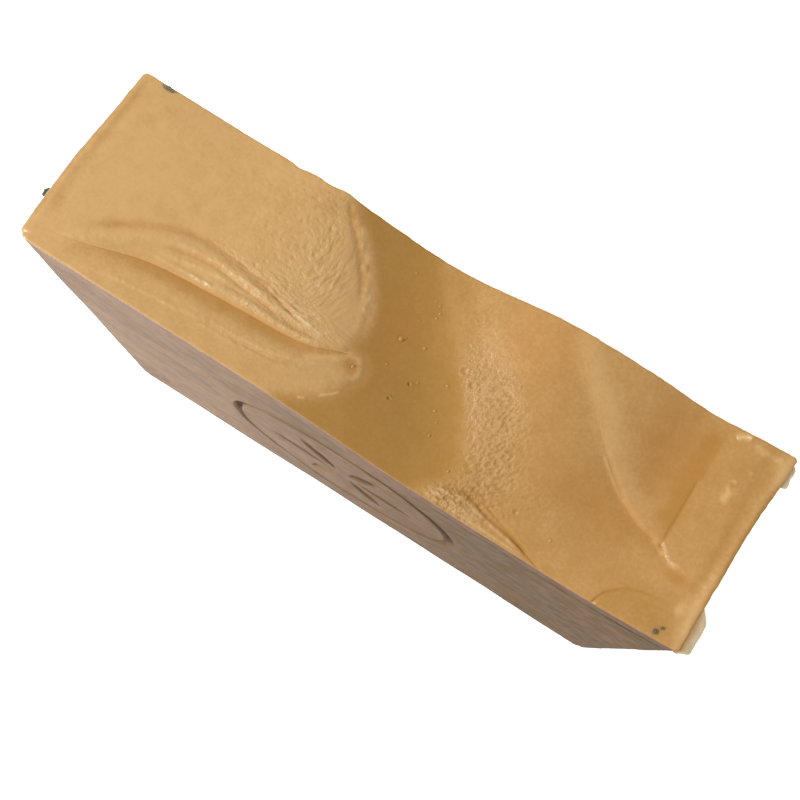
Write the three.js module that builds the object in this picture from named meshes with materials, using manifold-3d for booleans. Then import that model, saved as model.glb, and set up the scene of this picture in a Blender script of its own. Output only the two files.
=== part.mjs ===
// A hand-cut bar of clay soap, in millimetres, +Z up. The origin is the middle of the face it stands on, X runs
// along the bar and the stamped cut face looks along -Y. A poured block carries the last of the batch, which was
// spooned on in folds that set against each other, so each fold is a solid of its own.
import * as THREE from "three";
import { mergeVertices } from "three/addons/utils/BufferGeometryUtils.js";
import Module from "manifold-3d";

const wasm = await Module();
wasm.setup();

// Driving dimensions.
const LENGTH = 89;
const THICKNESS = 25.6;
const POUR_DEPTH = 4.5; // of the spooned layer, below its own surface
const SEAM_GAP = 0.2; // between solids that set against each other
const GRID = 2.2; // spacing of the surface's facets
const CURVE_STEPS = 16;
const TALL = 100; // higher than any part of the bar

// The stamp is a pressed ring round six petals, on the cut face.
const STAMP_CENTRE_X = -1;
const STAMP_CENTRE_Z = 31.5;
const STAMP_RADIUS = 18;
const STAMP_LINE = 1.3;
const STAMP_DEPTH = 0.8;
const PETAL_LENGTH = 12.5;
const PETAL_START = 2;
const PETAL_DEPTH = 0.4;

const END = LENGTH / 2;
const SIDE = THICKNESS / 2;

// Height of the spooned surface at these distances along the bar, in five rows from the cut face to the back.
const STATIONS = [-END, -30, -14, -5, 2, 9, 16, 23, 30, 37, END];
const ROWS = [
  { y: -SIDE, heights: [62.4, 62.5, 62.2, 61.0, 59.3, 57.7, 56.9, 56.7, 57.2, 58.5, 60.8] },
  { y: -7, heights: [62.6, 62.3, 62.2, 61.6, 59.8, 58.0, 58.3, 58.6, 58.2, 58.9, 61.0] },
  { y: 0, heights: [62.8, 62.2, 62.2, 61.2, 59.4, 58.9, 60.8, 61.0, 59.6, 59.4, 61.4] },
  { y: 7, heights: [63.0, 62.2, 62.2, 60.4, 59.3, 61.0, 62.8, 62.4, 62.0, 60.6, 61.8] },
  { y: SIDE, heights: [63.2, 62.2, 62.4, 60.2, 59.6, 61.6, 63.8, 63.8, 63.0, 61.6, 62.4] },
];

// Where folds meet, seen from above, as points that a smooth curve passes through.
const CREASES = {
  slab_front: [[-END, -10.8], [-38, -9.3], [-30, -7.1], [-20, -6.3], [-10, -5.7], [-5, -3.9]],
  slab_end: [[-5, -3.9], [-4.4, -1], [-5.4, 2.6], [-7.4, 5.4], [-10.6, 9], [-14, SIDE]],
  roll_end: [[-5, -3.9], [-2.8, -3.2], [-1.7, -5], [-3, -8.2], [-5.6, -10.6], [-9.5, -SIDE]],
  ripple_edge: [[-2, SIDE], [2.2, 8], [6.5, 2.8], [10.5, -2.8], [13, -8.4], [10, -SIDE]],
  hollow_edge: [[16.5, SIDE], [20, 9.6], [24, 5], [30, 0], [34, -2.4], [37.6, -3.2]],
  end_slab_side: [[37.4, SIDE], [37.7, 5], [37.6, -3.2]],
  end_slab_foot: [[37.6, -3.2], [39, -4.5], [41.5, -5.1], [END, -5.4]],
  corner_edge: [[34.4, -SIDE], [35, -11.2], [37.4, -9.2], [41, -8.4], [END, -8]],
  lip_edge: [[10, -SIDE], [12.6, -10.8], [17, -9.6], [21, -10.6], [25, -11.9], [27.5, -SIDE]],
};

// Each fold's outline goes round by creases, a minus reversing one, and by corners of the bar. Its surface stands
// this far above the spooned surface.
const BACK_LEFT = [-END, SIDE];
const FRONT_LEFT = [-END, -SIDE];
const BACK_RIGHT = [END, SIDE];
const FRONT_RIGHT = [END, -SIDE];
const FOLDS = {
  left_slab: { lift: 0.4, round: ["slab_front", "slab_end", BACK_LEFT] },
  front_roll: { lift: 0.2, round: ["slab_front", "roll_end", FRONT_LEFT] },
  valley_pour: { lift: 0, round: ["-slab_end", "roll_end", "-ripple_edge"] },
  ripple_fold: {
    lift: 0.2,
    round: ["hollow_edge", "end_slab_foot", "-corner_edge", "-lip_edge", "-ripple_edge"],
  },
  hollow_fold: { lift: 0, round: ["hollow_edge", "-end_slab_side"] },
  end_slab: { lift: 1.0, round: ["end_slab_side", "end_slab_foot", BACK_RIGHT] },
  corner_fold: { lift: 0.3, round: ["corner_edge", FRONT_RIGHT] },
  front_lip: { lift: 0.5, round: ["lip_edge"] },
};

const soap = {
  cut: new THREE.MeshStandardMaterial({ color: 0xb9a48c, roughness: 0.65, metalness: 0 }),
  top: new THREE.MeshStandardMaterial({ color: 0xcda46a, roughness: 0.38, metalness: 0 }),
  flash: new THREE.MeshStandardMaterial({ color: 0xd8cbb0, roughness: 0.3, metalness: 0 }),
};
const clay = new THREE.MeshStandardMaterial({ color: 0x6f6a60, roughness: 0.8, metalness: 0 });

// A three.js geometry as a solid that can be cut, and back.
function solidOf(geometry) {
  const bare = geometry.clone();
  bare.deleteAttribute("normal");
  bare.deleteAttribute("uv");
  const merged = mergeVertices(bare, 1e-4);
  return new wasm.Manifold(
    new wasm.Mesh({
      numProp: 3,
      vertProperties: merged.attributes.position.array,
      triVerts: new Uint32Array(merged.index.array),
    }),
  );
}

function meshOf(solid, material, name) {
  const { vertProperties, triVerts } = solid.getMesh();
  const geometry = new THREE.BufferGeometry();
  geometry.setAttribute("position", new THREE.BufferAttribute(new Float32Array(vertProperties), 3));
  geometry.setIndex(new THREE.BufferAttribute(new Uint32Array(triVerts), 1));
  geometry.computeVertexNormals();
  const mesh = new THREE.Mesh(geometry, material);
  mesh.name = name;
  return mesh;
}

// The spooned surface: a cubic curve along each row, and a cubic curve across the rows.
function cubicThrough(positions, values) {
  return new THREE.CubicInterpolant(positions, values, 1, new Float32Array(1));
}

const rowCurves = ROWS.map((row) => cubicThrough(STATIONS, row.heights));
const rowPlaces = ROWS.map((row) => row.y);

function surfaceHeight(x, y) {
  const across = rowCurves.map((curve) => curve.evaluate(x)[0]);
  return cubicThrough(rowPlaces, across).evaluate(y)[0];
}

// A block over the whole bar whose top and bottom faces follow two height functions.
function blockBetween(top, bottom) {
  const columns = Math.round(LENGTH / GRID);
  const rows = Math.round(THICKNESS / GRID);
  const geometry = new THREE.BoxGeometry(LENGTH, THICKNESS, 1, columns, rows, 1);
  const place = geometry.attributes.position;
  for (let i = 0; i < place.count; i += 1) {
    const height = place.getZ(i) > 0 ? top : bottom;
    place.setZ(i, height(place.getX(i), place.getY(i)));
  }
  return solidOf(geometry);
}

// Outlines seen from above, and upright prisms on them.
function creasePoints(name) {
  const reversed = name.startsWith("-");
  const through = CREASES[reversed ? name.slice(1) : name].map(([x, y]) => new THREE.Vector2(x, y));
  const points = new THREE.SplineCurve(through).getPoints(CURVE_STEPS);
  return reversed ? points.reverse() : points;
}

function prismOn(points) {
  const geometry = new THREE.ExtrudeGeometry(new THREE.Shape(points), { depth: TALL, bevelEnabled: false });
  return solidOf(geometry);
}

function foldOutline(round) {
  const points = round.flatMap((part) =>
    typeof part === "string" ? creasePoints(part) : [new THREE.Vector2(...part)],
  );
  return points.filter((point, i) => i === 0 || point.distanceTo(points[i - 1]) > 1e-6);
}

// An upright wall along a crease, as wide as the gap, that parts the two folds beside it.
function creaseWall(name) {
  const points = creasePoints(name);
  const first = points[0].clone().multiplyScalar(2).sub(points[1]);
  const last = points.at(-1).clone().multiplyScalar(2).sub(points.at(-2));
  const line = [first, ...points, last];
  const side = (sign) =>
    line.map((point, i) => {
      const before = line[Math.max(i - 1, 0)];
      const after = line[Math.min(i + 1, line.length - 1)];
      const along = after.clone().sub(before).normalize();
      return new THREE.Vector2(-along.y, along.x).multiplyScalar((sign * SEAM_GAP) / 2).add(point);
    });
  return prismOn([...side(1), ...side(-1).reverse()]);
}

// The pressed ring and petals, as solids to cut away, with their axis along the cut face's normal.
function stampTools() {
  const outside = 1;
  const ringProfile = [
    [STAMP_RADIUS - STAMP_LINE / 2, -outside],
    [STAMP_RADIUS + STAMP_LINE / 2, -outside],
    [STAMP_RADIUS + STAMP_LINE / 4, STAMP_DEPTH],
    [STAMP_RADIUS - STAMP_LINE / 4, STAMP_DEPTH],
    [STAMP_RADIUS - STAMP_LINE / 2, -outside],
  ].map(([radius, depth]) => new THREE.Vector2(radius, depth));
  const ring = new THREE.LatheGeometry(ringProfile, 72);

  // A petal lies between two equal arcs that cross at its ends.
  const half = (PETAL_LENGTH - PETAL_START) / 2;
  const arcRadius = half / Math.sin(Math.PI / 6);
  const arcOffset = arcRadius * Math.cos(Math.PI / 6);
  const petal = new THREE.Shape();
  petal.absarc(PETAL_START + half, -arcOffset, arcRadius, Math.PI / 3, (2 * Math.PI) / 3, false);
  petal.absarc(PETAL_START + half, arcOffset, arcRadius, (4 * Math.PI) / 3, (5 * Math.PI) / 3, false);
  const petals = [0, 1, 2, 3, 4, 5].map((turn) =>
    new THREE.ExtrudeGeometry(petal, { depth: outside + PETAL_DEPTH, bevelEnabled: false, curveSegments: 8 })
      .translate(0, 0, -outside)
      .rotateZ((turn * Math.PI) / 3 + Math.PI / 6)
      .rotateX(-Math.PI / 2),
  );
  return [ring, ...petals].map((tool) =>
    solidOf(tool.translate(STAMP_CENTRE_X, -SIDE, STAMP_CENTRE_Z)),
  );
}

function barBody() {
  const seam = (x, y) => surfaceHeight(x, y) - POUR_DEPTH - SEAM_GAP;
  const block = blockBetween(seam, () => 0);
  const stamped = stampTools().reduce((body, tool) => body.subtract(tool), block);
  return meshOf(stamped, soap.cut, "bar_body");
}

function foldMesh(name) {
  const { lift, round } = FOLDS[name];
  const top = (x, y) => surfaceHeight(x, y) + lift;
  const seam = (x, y) => surfaceHeight(x, y) - POUR_DEPTH;
  const whole = blockBetween(top, seam).intersect(prismOn(foldOutline(round)));
  const walls = round.filter((part) => typeof part === "string").map(creaseWall);
  const parted = walls.reduce((fold, wall) => fold.subtract(wall), whole);
  return meshOf(parted, soap.top, name);
}

// Flash is the thin torn lip that batter leaves between the mould and its lid, standing out from the right end.
function flashMesh(name, outline, height) {
  const thick = 0.7;
  const points = outline.map(([out, y]) => new THREE.Vector2(END + SEAM_GAP + out, y));
  const geometry = new THREE.ExtrudeGeometry(new THREE.Shape(points), { depth: thick, bevelEnabled: false });
  const mesh = new THREE.Mesh(geometry, soap.flash);
  mesh.name = name;
  mesh.position.z = height - thick;
  return mesh;
}

// A fleck of dry clay, a squashed grain of this length, width and height.
function fleckMesh(name, size, place) {
  const fleck = new THREE.Mesh(new THREE.IcosahedronGeometry(0.5, 1).scale(...size), clay);
  fleck.name = name;
  fleck.position.set(...place);
  return fleck;
}

// A fleck that lies on a fold, just clear of it.
function fleckOnTop(name, size, x, y, fold) {
  const height = surfaceHeight(x, y) + FOLDS[fold].lift + SEAM_GAP * 1.5 + size[2] / 2;
  return fleckMesh(name, size, [x, y, height]);
}

const FLASH_REACH = 0.9;
const END_FLECK = [0.9, 1.2, 1.0];
const bar = new THREE.Group();
bar.add(barBody());
bar.add(...Object.keys(FOLDS).map(foldMesh));
bar.add(
  flashMesh("upper_flash", [[0, 9.4], [FLASH_REACH * 0.8, 10.3], [FLASH_REACH, 12.2], [0, 12.6]], 62.6),
  flashMesh("lower_flash", [[0, -12.4], [FLASH_REACH * 0.8, -12.2], [FLASH_REACH, -9], [0, -6.6]], 60.6),
);
bar.add(
  fleckMesh("end_fleck", END_FLECK, [-END - SEAM_GAP - END_FLECK[0] / 2, -6.3, 60.8]),
  fleckOnTop("back_fleck", [1.6, 0.6, 0.5], -41.4, 12.2, "left_slab"),
  fleckOnTop("large_front_fleck", [0.5, 0.7, 0.4], 41.2, -12.1, "corner_fold"),
  fleckOnTop("small_front_fleck", [0.3, 0.5, 0.3], 41.7, -11.4, "corner_fold"),
);

export default bar;
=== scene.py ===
"""A hand-cut bar of clay soap, finished as fine meshes around its CAD frame.

The CAD holds the poured block, the folds that were spooned over it, the flash and the flecks. Here each
of them gets a fine closed mesh with its wrinkles, bubbles and cut marks, and a waxy material. The tables
below are in millimetres and in the CAD's axes: X along the bar, -Y towards the stamped cut face, Z up.
"""

import math
from dataclasses import dataclass

import bmesh
import bpy
import numpy as np
from mathutils import Matrix, Vector
from mathutils.geometry import delaunay_2d_cdt
from mathutils.kdtree import KDTree


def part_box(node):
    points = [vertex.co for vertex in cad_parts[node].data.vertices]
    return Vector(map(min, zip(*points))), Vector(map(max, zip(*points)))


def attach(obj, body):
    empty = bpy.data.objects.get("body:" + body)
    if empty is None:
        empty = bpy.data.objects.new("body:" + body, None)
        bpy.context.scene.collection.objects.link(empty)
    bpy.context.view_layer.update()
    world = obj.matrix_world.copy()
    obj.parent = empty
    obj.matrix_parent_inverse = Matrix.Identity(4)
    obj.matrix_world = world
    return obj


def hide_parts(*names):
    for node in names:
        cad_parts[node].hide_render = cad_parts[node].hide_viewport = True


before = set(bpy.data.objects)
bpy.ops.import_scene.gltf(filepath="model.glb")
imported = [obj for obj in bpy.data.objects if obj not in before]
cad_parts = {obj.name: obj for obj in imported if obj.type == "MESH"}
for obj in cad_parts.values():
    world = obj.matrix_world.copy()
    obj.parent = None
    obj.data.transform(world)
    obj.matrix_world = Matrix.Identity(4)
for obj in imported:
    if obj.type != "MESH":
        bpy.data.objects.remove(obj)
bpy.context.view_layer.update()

MM = 0.001
BODY = "root"
END, SIDE = (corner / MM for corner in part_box("bar_body")[1].xy)

# The spooned layer, as in the CAD: its depth, and the points of the smooth creases between its folds.
POUR_DEPTH = 4.5
CREASES = {
    "slab_front": [(-END, -10.8), (-38, -9.3), (-30, -7.1), (-20, -6.3), (-10, -5.7), (-5, -3.9)],
    "slab_end": [(-5, -3.9), (-4.4, -1), (-5.4, 2.6), (-7.4, 5.4), (-10.6, 9), (-14, SIDE)],
    "roll_end": [(-5, -3.9), (-2.8, -3.2), (-1.7, -5), (-3, -8.2), (-5.6, -10.6), (-9.5, -SIDE)],
    "ripple_edge": [(-2, SIDE), (2.2, 8), (6.5, 2.8), (10.5, -2.8), (13, -8.4), (10, -SIDE)],
    "hollow_edge": [(16.5, SIDE), (20, 9.6), (24, 5), (30, 0), (34, -2.4), (37.6, -3.2)],
    "end_slab_side": [(37.4, SIDE), (37.7, 5), (37.6, -3.2)],
    "end_slab_foot": [(37.6, -3.2), (39, -4.5), (41.5, -5.1), (END, -5.4)],
    "corner_edge": [(34.4, -SIDE), (35, -11.2), (37.4, -9.2), (41, -8.4), (END, -8)],
    "lip_edge": [(10, -SIDE), (12.6, -10.8), (17, -9.6), (21, -10.6), (25, -11.9), (27.5, -SIDE)],
}
BACK_LEFT, FRONT_LEFT = (-END, SIDE), (-END, -SIDE)
BACK_RIGHT, FRONT_RIGHT = (END, SIDE), (END, -SIDE)
OUTLINES = {
    "left_slab": ["slab_front", "slab_end", BACK_LEFT],
    "front_roll": ["slab_front", "roll_end", FRONT_LEFT],
    "valley_pour": ["-slab_end", "roll_end", "-ripple_edge"],
    "ripple_fold": ["hollow_edge", "end_slab_foot", "-corner_edge", "-lip_edge", "-ripple_edge"],
    "hollow_fold": ["hollow_edge", "-end_slab_side"],
    "end_slab": ["end_slab_side", "end_slab_foot", BACK_RIGHT],
    "corner_fold": ["corner_edge", FRONT_RIGHT],
    "front_lip": ["lip_edge"],
}

# A fold's mesh: the spacing of its top, how far inside its outline extra rows lie, the spacing of its
# base, and how many rows its walls have.
FINE = 0.15
EDGE_ROWS = (0.04, 0.1, 0.18, 0.29)
COARSE = 2.5
WALL_ROWS = 10


# ---- Shaping functions ----


def ease(t):
    """0 below 0, 1 above 1 and a smooth rise between."""
    t = np.clip(t, 0, 1)
    return t * t * (3 - 2 * t)


def slope_off(t):
    """1 at an edge, easing to 0 at t = 1."""
    return 1 - ease(t)


def round_over(t):
    """1 at an edge, falling to 0 at t = 1 as a quarter circle that starts upright."""
    t = np.clip(t, 0, 1)
    return 1 - np.sqrt(1 - (1 - t) ** 2)


def bell(t):
    return np.exp(-t * t)


def turned(x, y, degrees):
    """X and Y measured along and across a direction given in degrees from +X."""
    c, s = math.cos(math.radians(degrees)), math.sin(math.radians(degrees))
    return c * x + s * y, c * y - s * x


def blob(x, y, centre, radii, turn=0.0):
    """A soft oval patch, 1 in the middle; turn is its long axis's angle from +X in degrees."""
    along, across = turned(x - centre[0], y - centre[1], turn)
    return np.exp(-((along / radii[0]) ** 2) - (across / radii[1]) ** 2)


def noise(u, v, seed):
    """Smooth noise of about -1 to 1 whose features are about one unit across."""
    size = 256
    angle = np.random.default_rng(seed).uniform(0, 2 * np.pi, (size, size))
    column, row = np.floor(u).astype(int), np.floor(v).astype(int)
    fu, fv = u - column, v - row

    def corner(du, dv):
        turn = angle[(column + du) % size, (row + dv) % size]
        return np.cos(turn) * (fu - du) + np.sin(turn) * (fv - dv)

    eu, ev = (f**3 * (f * (f * 6 - 15) + 10) for f in (fu, fv))
    near = corner(0, 0) * (1 - eu) + corner(1, 0) * eu
    far = corner(0, 1) * (1 - eu) + corner(1, 1) * eu
    # The gain brings the peaks of gradient noise, 0.7, to about 1.
    return 1.4 * (near * (1 - ev) + far * ev)


def crumple(u, v, seed):
    """Noise with finer noise on it."""
    return noise(u, v, seed) + noise(2 * u, 2 * v, seed + 1) / 2


def grain(x, y, direction, along, across, seed):
    """Noise drawn out in a direction given in degrees from +X; along and across are its feature sizes."""
    u, v = turned(x, y, direction)
    return crumple(u / along, v / across, seed)


# ---- Lines on the top ----


CURVE_STEPS = 24  # between one point of a curve and the next
PAIRS_AT_ONCE = 4_000_000  # points and line parts that are compared in one go, which limits memory
TAPER = 0.15  # the share of a stroke over which it fades at each end
BREAK_SIZE = 0.9  # between the breaks of a broken stroke


def smooth_line(points, step):
    """A smooth curve through the points, in about equal steps."""
    p = np.array(points, float)
    p = np.vstack([2 * p[0] - p[1], p, 2 * p[-1] - p[-2]])
    t = np.linspace(0, 1, CURVE_STEPS, endpoint=False)[:, None]
    parts = []
    for a, b, c, d in zip(p, p[1:], p[2:], p[3:]):
        bend = (2 * a - 5 * b + 4 * c - d) * t**2 + (3 * b - a - 3 * c + d) * t**3
        parts.append(b + 0.5 * ((c - a) * t + bend))
    dense = np.vstack([*parts, p[-2]])
    reach = np.concatenate([[0], np.cumsum(np.hypot(*np.diff(dense, axis=0).T))])
    stops = np.linspace(0, reach[-1], max(2, round(reach[-1] / step) + 1))
    return np.stack([np.interp(stops, reach, dense[:, k]) for k in (0, 1)], 1)


def beside_line(line, x, y):
    """For each point: its distance from a line, and how far along the line it is, from 0 to 1."""
    start, span = line[:-1], np.diff(line, axis=0)
    distance, along = np.empty(x.size), np.empty(x.size)
    for part in np.array_split(np.arange(x.size), max(1, x.size * len(span) // PAIRS_AT_ONCE)):
        dx = x[part, None] - start[:, 0]
        dy = y[part, None] - start[:, 1]
        t = np.clip((dx * span[:, 0] + dy * span[:, 1]) / (span**2).sum(1), 0, 1)
        off = (dx - t * span[:, 0]) ** 2 + (dy - t * span[:, 1]) ** 2
        nearest = off.argmin(1)
        rows = np.arange(part.size)
        distance[part] = np.sqrt(off[rows, nearest])
        along[part] = (nearest + t[rows, nearest]) / len(span)
    return distance, along


class Relief:
    """Points seen from above: the height that detail adds there, and the soap's tone, glow and crinkle.

    Tone runs from about -1, the dark clear soap of the valley, to 1, the pale slab, and above that for
    whitish fraying soap and painted glints; it is partly the soap's own colour and partly painted sheen,
    painted highlight and painted shade. Glow is painted glow: the orange that light scattered under the
    skin gives in creases and in deep clear soap. Glow and crinkle run from 0 to 1.
    """

    def __init__(self, x, y):
        self.x, self.y = x, y
        self.z, self.tone, self.glow, self.crinkle = (np.zeros(x.size) for _ in range(4))

    def add(self, mark, shape, where=slice(None)):
        self.z[where] += mark.height * shape
        self.tone[where] += mark.tone * shape
        self.glow[where] += mark.glow * shape


# Painted light: a ridge's tone mostly paints it paler, as painted highlight, and a groove's tone mostly
# paints it darker, as painted shade.
@dataclass
class Stroke:
    """A ridge, or a groove where its height is negative; broken is how much it comes and goes, 0 to 1."""

    points: list
    height: float
    width: float
    tone: float = 0.0
    glow: float = 0.0
    broken: float = 0.0

    def add_to(self, relief):
        reach = 3 * self.width
        low, high = np.min(self.points, 0) - reach, np.max(self.points, 0) + reach
        x, y = relief.x, relief.y
        near = np.flatnonzero((x > low[0]) & (x < high[0]) & (y > low[1]) & (y < high[1]))
        x, y = x[near], y[near]
        distance, along = beside_line(smooth_line(self.points, max(0.5, self.width)), x, y)
        shape = bell(distance / self.width) * ease(along / TAPER) * ease((1 - along) / TAPER)
        shape *= 1 - self.broken * (0.5 + 0.9 * crumple(x / BREAK_SIZE, y / BREAK_SIZE, 7))
        relief.add(self, shape, near)


@dataclass
class Bubble:
    """A round dome, or a pit where its height is negative, with a shallow moat round it."""

    place: tuple
    radius: float
    height: float
    tone: float = 0.0
    glow: float = 0.0

    def add_to(self, relief):
        out = np.hypot(relief.x - self.place[0], relief.y - self.place[1]) / self.radius
        near = np.flatnonzero(out < 3)
        out = out[near]
        relief.add(self, np.sqrt(np.clip(1 - out**2, 0, 1)) - 0.3 * bell((out - 1.15) / 0.35), near)


@dataclass
class Patch:
    """A soft oval patch that is raised, paler or warmer than what is round it."""

    place: tuple
    radii: tuple
    turn: float = 0.0
    height: float = 0.0
    tone: float = 0.0
    glow: float = 0.0

    def add_to(self, relief):
        relief.add(self, blob(relief.x, relief.y, self.place, self.radii, self.turn))


# ---- The marks on the top ----

# Painted light: in these tables the tone of ridges and grooves is mostly painted highlight and painted
# shade, and glow is painted glow; the rest of the tone is the soap's own colour.
LEFT_SLAB = [
    # The long folds along its front, from the left corner to its right end; their ridges are painted
    # paler and their grooves darker, as painted highlight and painted shade.
    Stroke([(-42.5, -10.8), (-38, -8.2), (-35, -6.2), (-32, -4.5), (-29, -3.4), (-24, -2.7), (-19, -3),
            (-13, -3.7)], 0.2, 0.65, tone=0.15, broken=0.2),
    Stroke([(-40, -7.9), (-36, -5.1), (-32, -2.8), (-29, -1.7), (-25, -1.3), (-20, -1.8), (-15, -2.6),
            (-11, -3.2)], -0.16, 0.6, tone=-0.7, glow=0.15),
    Stroke([(-31, -5), (-29, -4.2), (-26, -3.6), (-23, -3.4), (-20, -3.7), (-15, -4.3), (-10, -4.5),
            (-7.5, -4.3)], -0.14, 0.32, tone=-0.5, glow=0.2),
    Stroke([(-29, -5.3), (-26, -4.7), (-23.5, -4.3), (-20.5, -4.2)], 0.12, 0.25, tone=0.6, broken=0.6),
    Stroke([(-26, -6), (-21, -5.4), (-17, -5.1), (-13, -5.2), (-9, -5), (-6.3, -4.3)], 0.13, 0.42,
           tone=0.6, broken=0.5),
    Stroke([(-22, -4.8), (-18, -4.5), (-14, -4.75), (-10, -4.8)], -0.09, 0.18, tone=-0.35),
    Stroke([(-31, -6.1), (-27, -5.9), (-24, -5.8), (-20.5, -5.8)], 0.06, 0.22, tone=0.4, broken=0.8),
    Stroke([(-28, -5.6), (-25, -5.3), (-21.5, -5.4)], -0.06, 0.2, tone=-0.3),
    Stroke([(-17, -2), (-13, -2.8), (-10, -3.4), (-7.5, -3.6)], 0.14, 0.2, tone=0.35, broken=0.5),
    Stroke([(-16, -2.6), (-13, -3.3), (-10.5, -3.8)], -0.13, 0.16, tone=-0.35),
    # Its right end: a lumpy rim with its lumps painted pale as painted glints, the groove inside it
    # painted darker as painted shade with painted glow, a thin skin outside it, and finer folds.
    Stroke([(-13.8, 12.6), (-12, 10.3), (-10, 8.2), (-8.3, 6.3), (-6.9, 4.4), (-5.8, 2.2), (-5.3, 0),
            (-5.4, -2)], 0.07, 0.6, tone=0.6, broken=0.9),
    Stroke([(-15.2, 13), (-13.2, 10.6), (-11, 8.3), (-9, 6), (-7.6, 4), (-6.4, 1.8)], -0.1, 0.4,
           tone=-0.45, glow=0.15),
    Stroke([(-12.2, 11.6), (-9.4, 8.6), (-7, 5.8), (-5.3, 3.2), (-4.4, 0.5), (-4.2, -2.2)], 0, 0.7,
           tone=0.7),
    Stroke([(-14.2, 10.5), (-13.7, 8), (-13.6, 6), (-13.5, 3.5)], 0.05, 0.14, tone=0.2, broken=0.6),
    Stroke([(-14.7, 10), (-14.3, 7), (-14.1, 4)], -0.06, 0.16, tone=-0.25),
    Stroke([(-12.9, 8), (-12.9, 5), (-12.7, 2)], -0.06, 0.15, tone=-0.2),
    Stroke([(-10.9, 5), (-10.5, 2.5), (-10.3, 0), (-10.9, -1.6)], 0.08, 0.15, tone=0.2, broken=0.5),
    *[Patch(place, radii, -52, height=0.05, tone=0.8) for place, radii in [
        ((-11.1, 9.9), (0.7, 0.4)), ((-10.3, 8.6), (0.3, 0.25)), ((-8.9, 7.6), (0.6, 0.45)),
        ((-8.7, 6.3), (0.3, 0.25)), ((-7.5, 5.8), (0.5, 0.35)), ((-7, 4.1), (0.35, 0.25)),
        ((-6.1, 3.6), (0.4, 0.25)), ((-5.8, 1.8), (0.3, 0.2))]],
    # Its left end and its back edge.
    Stroke([(-43.2, 13), (-43.1, 6), (-43, 0), (-42.8, -5), (-42.4, -9)], -0.05, 0.5, tone=-0.25),
    Stroke([(-43.9, 13), (-43.8, 6), (-43.7, 0), (-43.6, -6), (-43.2, -10)], 0.05, 0.3, tone=0.25),
    # Painted shade: a dark strip at the very edge, where the end face rounds over out of the light.
    Stroke([(-44.5, 14), (-44.5, 0), (-44.5, -12)], 0, 0.9, tone=-0.9),
    Patch((-34, -7.6), (5, 1.2), 28, tone=-0.3),
    Patch((-26, 6), (1.6, 0.9), 20, tone=-0.3),
    Patch((-21, 8), (1.3, 1.5), tone=-0.35),
    Patch((-16.5, 10.5), (1.6, 1.2), 30, height=-0.08, tone=-0.4),
    Patch((-38, 3), (5, 7), tone=0.2),
]
FRONT_ROLL = [
    # Ridges painted paler with painted glints, and a groove painted darker as painted shade.
    Stroke([(-38, -12), (-35, -11.3), (-32, -10.8), (-29, -10.5), (-24, -10), (-20, -9.3), (-15, -8.9),
            (-12, -8.5), (-9, -7.6), (-6.5, -6.5), (-5, -5.5), (-4, -4.3)], 0.09, 0.26, tone=0.45,
           broken=0.7),
    Stroke([(-17, -9.9), (-14, -9.5), (-11, -9.1), (-8.5, -8.2)], -0.07, 0.2, tone=-0.25),
    Stroke([(-22, -10.3), (-18, -10.1), (-15, -9.8), (-11, -9.3), (-8, -8.3)], 0.08, 0.2, tone=0.25,
           broken=0.9),
    # The lobe that it ends in, round a bubble, with painted glow in its middle, and thin lines painted
    # near-white as painted glints along the crease beside it.
    Stroke([(-9, -7.1), (-7, -5.9), (-5.3, -4.9), (-4.2, -3.7), (-3.3, -3.4), (-2.5, -3.9), (-2.1, -5),
            (-2.5, -6.6)], 0.09, 0.35, tone=1.3, broken=0.5),
    Patch((-3.5, -4.9), (0.8, 0.7), tone=-0.9, glow=0.4),
    Bubble((-3.2, -4.6), 0.22, 0.14, tone=0.2),
    Stroke([(-4.7, -9.7), (-3.7, -9), (-2.7, -7.9)], 0.1, 0.17, tone=1.2),
    Stroke([(-6.6, -11.3), (-5.7, -10.8)], 0.1, 0.17, tone=1.2),
]
VALLEY = [
    Patch((-1.2, 1.5), (2.2, 6.5), 12, tone=0.1, glow=0.3),
    Patch((-3.2, -9.5), (3, 2), 40, tone=0.15),
    *[Bubble(place, radius, 0.6 * radius, tone=0.9) for place, radius in [
        ((-0.4, 1.6), 0.32), ((-0.1, 1.9), 0.2), ((2.5, 2.2), 0.24), ((4, -1.8), 0.2), ((-0.2, -2), 0.18),
        ((7.5, -3.5), 0.2), ((8.35, -4.6), 0.16), ((5, -3.8), 0.14), ((-3.3, 9.6), 0.16),
        ((0.6, 7.9), 0.16), ((1.3, 7.6), 0.2), ((1.8, 6.8), 0.2), ((1.7, 6.1), 0.18), ((9.4, -5.3), 0.14),
        ((0.1, 4.8), 0.14), ((7.2, -0.2), 0.2), ((12.6, -8.7), 0.18), ((26.8, -9.3), 0.18)]],
    # A ring of five small ones.
    *[Bubble((8.2 + 0.34 * math.cos(k * 1.9), -6.2 + 0.3 * math.sin(k * 1.9)), 0.15, 0.09, tone=0.6)
      for k in range(5)],
    # Two pits painted dark as painted shade, each with a painted glint on its far wall.
    *[Bubble((x, y), 0.25, -0.16, tone=-0.5) for x, y in [(3.25, -2.5), (2.15, -5.3)]],
    *[Bubble((x, y), 0.15, 0.15, tone=1.4) for x, y in [(3.4, -2.35), (2.2, -5.05)]],
]
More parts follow.
